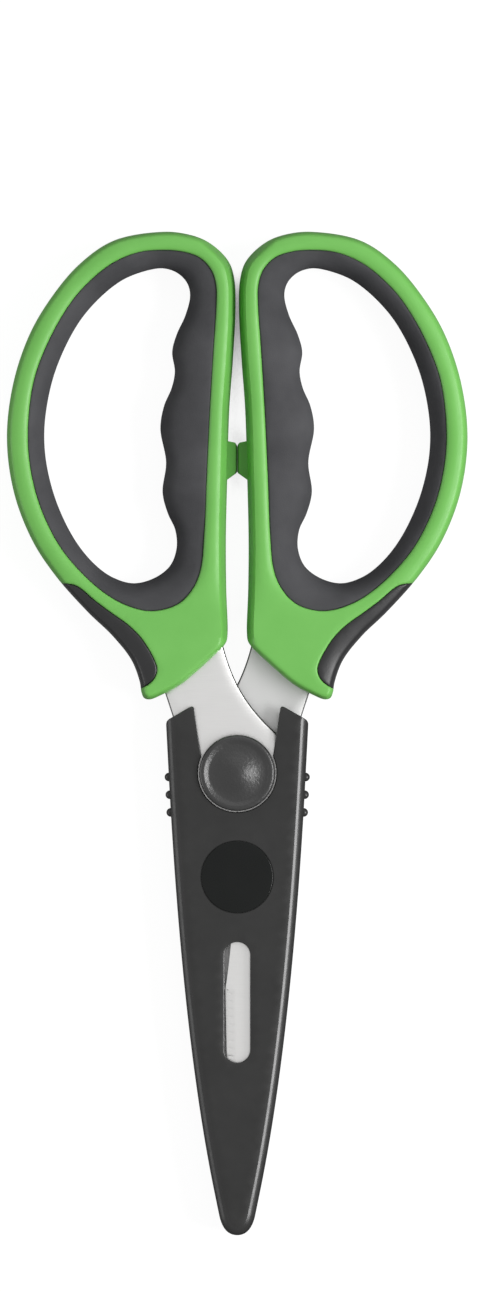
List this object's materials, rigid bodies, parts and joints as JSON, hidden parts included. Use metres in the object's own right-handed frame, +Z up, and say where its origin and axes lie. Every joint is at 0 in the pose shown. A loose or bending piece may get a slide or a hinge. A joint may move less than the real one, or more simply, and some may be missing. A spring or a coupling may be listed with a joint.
{
  "type": "utility shears",
  "caption": "Household utility shears with soft-lined finger loops, crossed steel blades on a capped pivot, and a slip-on blade sheath with a viewing window.",
  "frame": {"origin": "on the pivot axis, at the flat face of the rear pivot cap that the shears rest on", "axes": "+Y from the pivot towards the finger loops, +Z up from the rear face to the front face, +X to the right seen from the front"},
  "size_m": [0.1054, 0.229, 0.014],
  "materials": {
    "blade_steel": "satin ground stainless steel",
    "handle_plastic": "leaf green moulded plastic, semi-gloss",
    "soft_grip": "dark grey soft moulding, fine matte texture",
    "soft_pad": "near-black soft moulding, satin",
    "cap_plastic": "black satin plastic",
    "sheath_plastic": "black satin plastic",
    "badge_plastic": "plain glossy black disc",
    "pivot_steel": "turned steel"
  },
  "bodies": {
    "pivot": {"pivot_screw": "pivot_steel", "spring_washer": "pivot_steel", "flat_washer": "pivot_steel", "pivot_nut": "pivot_steel", "front_pivot_cap": "cap_plastic", "rear_pivot_cap": "cap_plastic"},
    "front_half": {"front_blade": "blade_steel", "left_handle_shell": "handle_plastic", "left_loop_grip": "soft_grip", "left_flare_pad": "soft_pad"},
    "rear_half": {"rear_blade": "blade_steel", "right_handle_shell": "handle_plastic", "right_loop_grip": "soft_grip", "right_flare_pad": "soft_pad"},
    "sheath": {"sheath_front_shell": "sheath_plastic", "sheath_rear_shell": "sheath_plastic", "sheath_badge": "badge_plastic"}
  },
  "joints": [
    {"name": "sheath_slide", "type": "slide", "parent": "pivot", "child": "sheath", "axis": [0, -1, 0], "range_m": [0, 0.35]},
    {"name": "front_half_pivot", "type": "hinge", "parent": "pivot", "child": "front_half", "pos_m": [0, 0, 0.007], "axis": [0, 0, 1], "range_deg": [0, 22.5]},
    {"name": "rear_half_pivot", "type": "hinge", "parent": "pivot", "child": "rear_half", "pos_m": [0, 0, 0.007], "axis": [0, 0, 1], "range_deg": [-22.5, 0]}
  ],
  "couplings": [
    {"joint": "front_half_pivot", "follows": "sheath_slide", "rad_per_m": 1.1219},
    {"joint": "rear_half_pivot", "follows": "sheath_slide", "rad_per_m": -1.1219}
  ]
}
